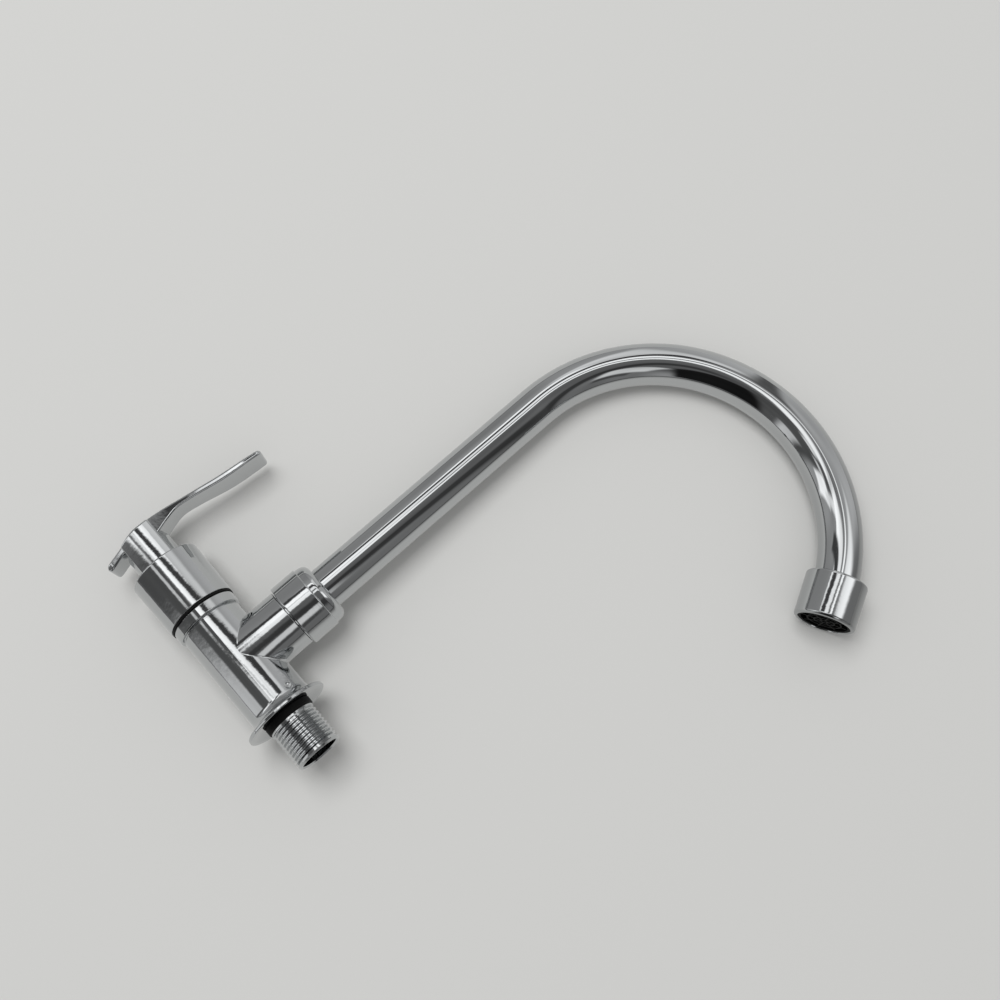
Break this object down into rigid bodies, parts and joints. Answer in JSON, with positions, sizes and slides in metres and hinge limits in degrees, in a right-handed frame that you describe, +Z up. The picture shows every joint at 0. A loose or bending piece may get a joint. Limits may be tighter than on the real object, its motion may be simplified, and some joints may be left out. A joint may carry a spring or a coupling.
{
  "type": "wall-mounted cold water kitchen tap",
  "caption": "Chrome wall tap for cold water: threaded inlet with flange, quarter-turn lever, and a high swivel gooseneck spout with an aerator.",
  "frame": {"origin": "centre of the flange's wall face, on the inlet axis", "axes": "+Y runs into the wall along the inlet thread, -Y comes out to the lever, +Z is up the spout's riser, +X is to the right seen from the lever"},
  "size_m": [0.038, 0.2408, 0.2767],
  "materials": {
    "chrome": "polished chrome plate on brass and zinc castings",
    "chrome_tube": "polished chrome plate on a drawn tube",
    "brass": "turned, unplated",
    "steel": "plain stainless",
    "ceramic": "lapped alumina, off-white",
    "black_rubber": "moulded, matt",
    "black_plastic": "moulded, fine matt",
    "white_plastic": "natural acetal",
    "blue_plastic": "glossy moulded cap"
  },
  "bodies": {
    "tap_body": {"body_casting": "chrome", "inlet_washer": "black_rubber", "sleeve_gasket": "black_rubber", "bonnet_sleeve": "chrome", "cartridge_body": "brass", "cartridge_washer": "white_plastic", "seat_seal": "black_rubber", "lower_ceramic_disc": "ceramic", "spout_nut": "chrome", "lower_slip_ring": "white_plastic", "upper_slip_ring": "white_plastic"},
    "lever": {"lever_handle": "chrome", "handle_screw": "steel", "index_plug": "blue_plastic", "spindle": "brass", "spindle_o_rings": "black_rubber", "spindle_slip_washer": "white_plastic", "spindle_clip": "steel", "upper_ceramic_disc": "ceramic"},
    "spout": {"spout_tube": "chrome_tube", "spout_collar": "brass", "spout_o_rings": "black_rubber", "tube_end_bush": "brass", "aerator_shell": "chrome", "aerator_washer": "black_rubber", "flow_diffuser": "white_plastic", "aerator_screens": "steel", "aerator_core": "black_plastic"}
  },
  "joints": [
    {"name": "lever_turn", "type": "hinge", "parent": "tap_body", "child": "lever", "pos_m": [0, -0.085, 0], "axis": [0, 1, 0], "range_deg": [0, 90]},
    {"name": "spout_swivel", "type": "hinge", "parent": "tap_body", "child": "spout", "pos_m": [0, -0.0309, 0.04], "axis": [0, 0, -1], "continuous": true}
  ]
}
